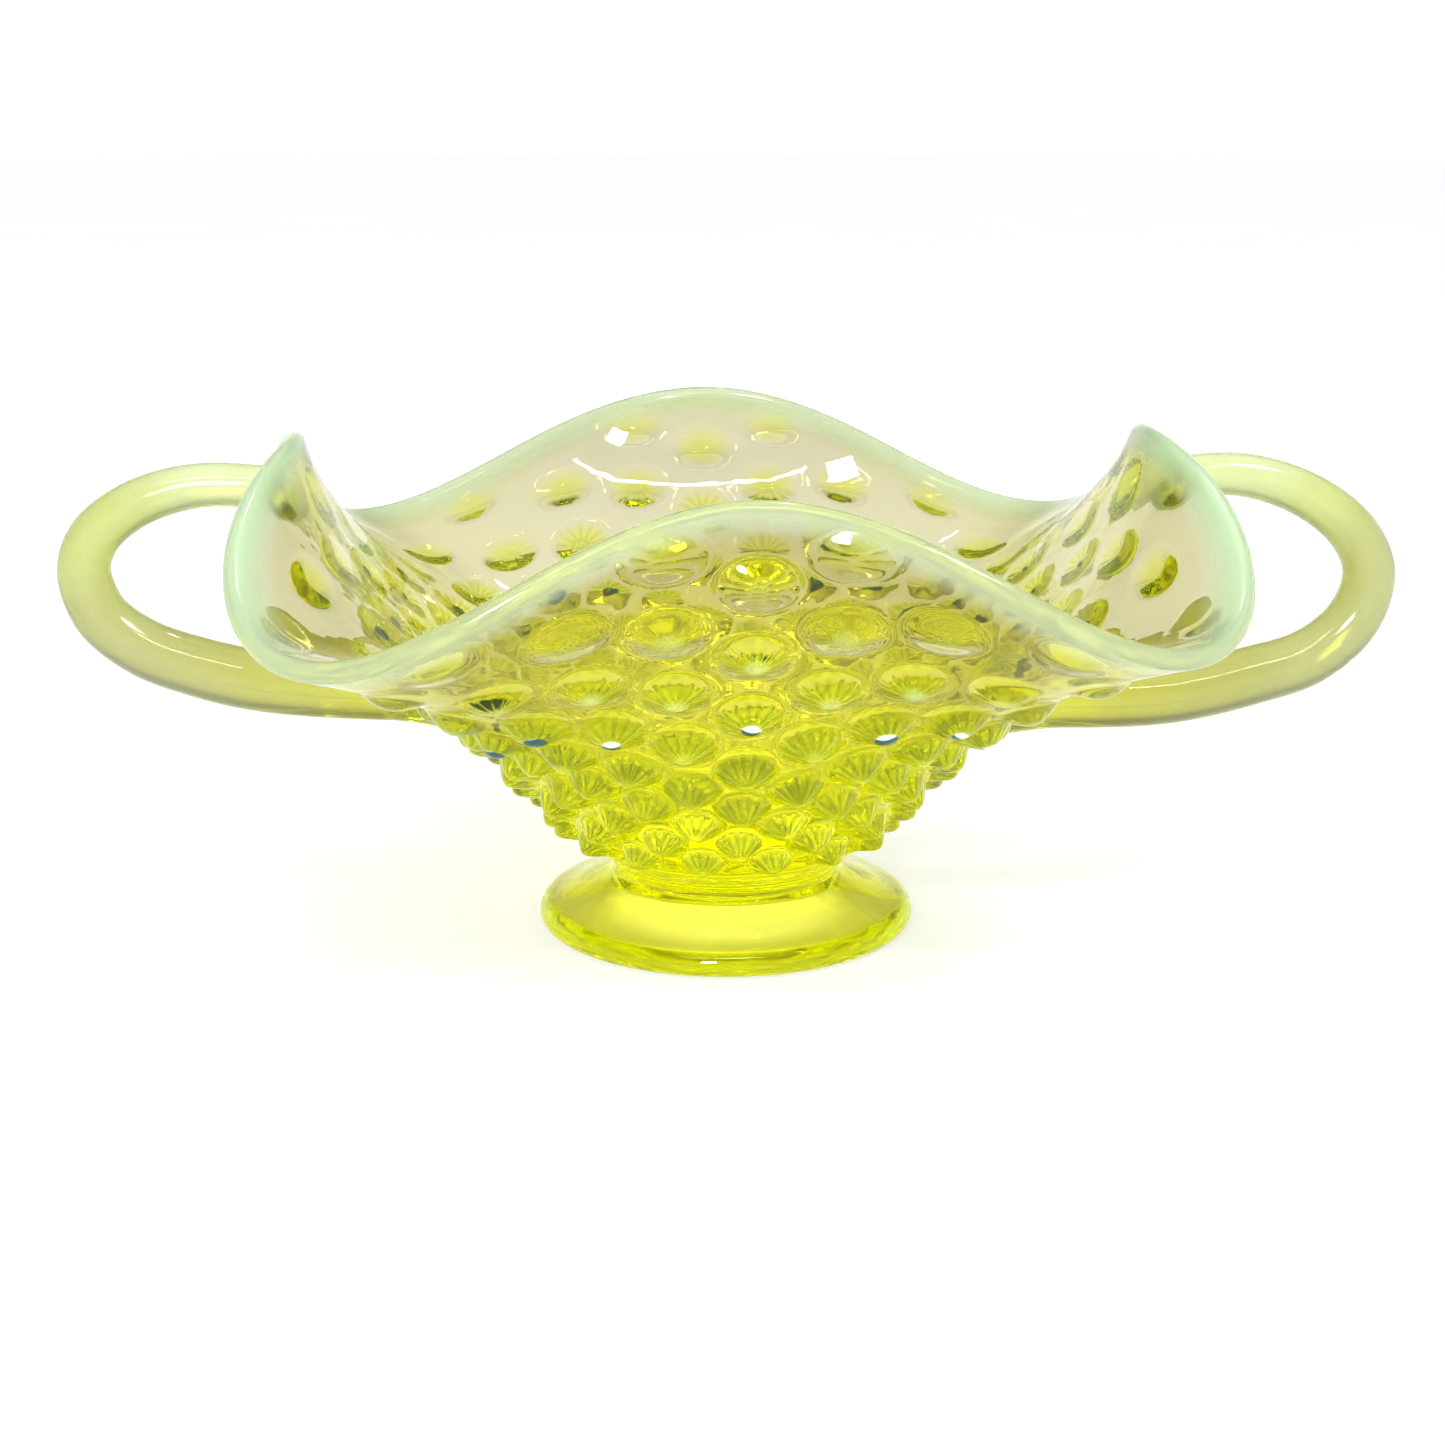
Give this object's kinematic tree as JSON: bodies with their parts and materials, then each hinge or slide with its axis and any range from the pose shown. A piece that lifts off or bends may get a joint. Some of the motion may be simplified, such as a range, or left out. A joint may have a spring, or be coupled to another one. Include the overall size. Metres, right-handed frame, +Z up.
{
  "type": "glass dish",
  "caption": "Footed hobnail glass dish with a crimped rim, a short collar, a round foot and loop handles.",
  "frame": {"origin": "the middle of the foot's flat underside", "axes": "+Z up, out of the bowl's mouth; X along the line through the two handles, +X towards the one on the right; -Y towards the viewer"},
  "size_m": [0.201, 0.1288, 0.0757],
  "materials": {
    "yellow_green_glass": "clear yellow-green uranium glass, fire-polished, turning milky mint at the rim",
    "collar_glass": "clear lemon-yellow uranium glass, fire-polished",
    "foot_glass": "clear lemon-yellow uranium glass, olive at the edge, fire-polished",
    "opalescent_glass": "milky pale yellow-green opalescent glass, fire-polished"
  },
  "bodies": {
    "root": {"bowl": "yellow_green_glass", "collar": "collar_glass", "foot": "foot_glass", "handle_left": "opalescent_glass", "handle_right": "opalescent_glass"}
  },
  "joints": []
}
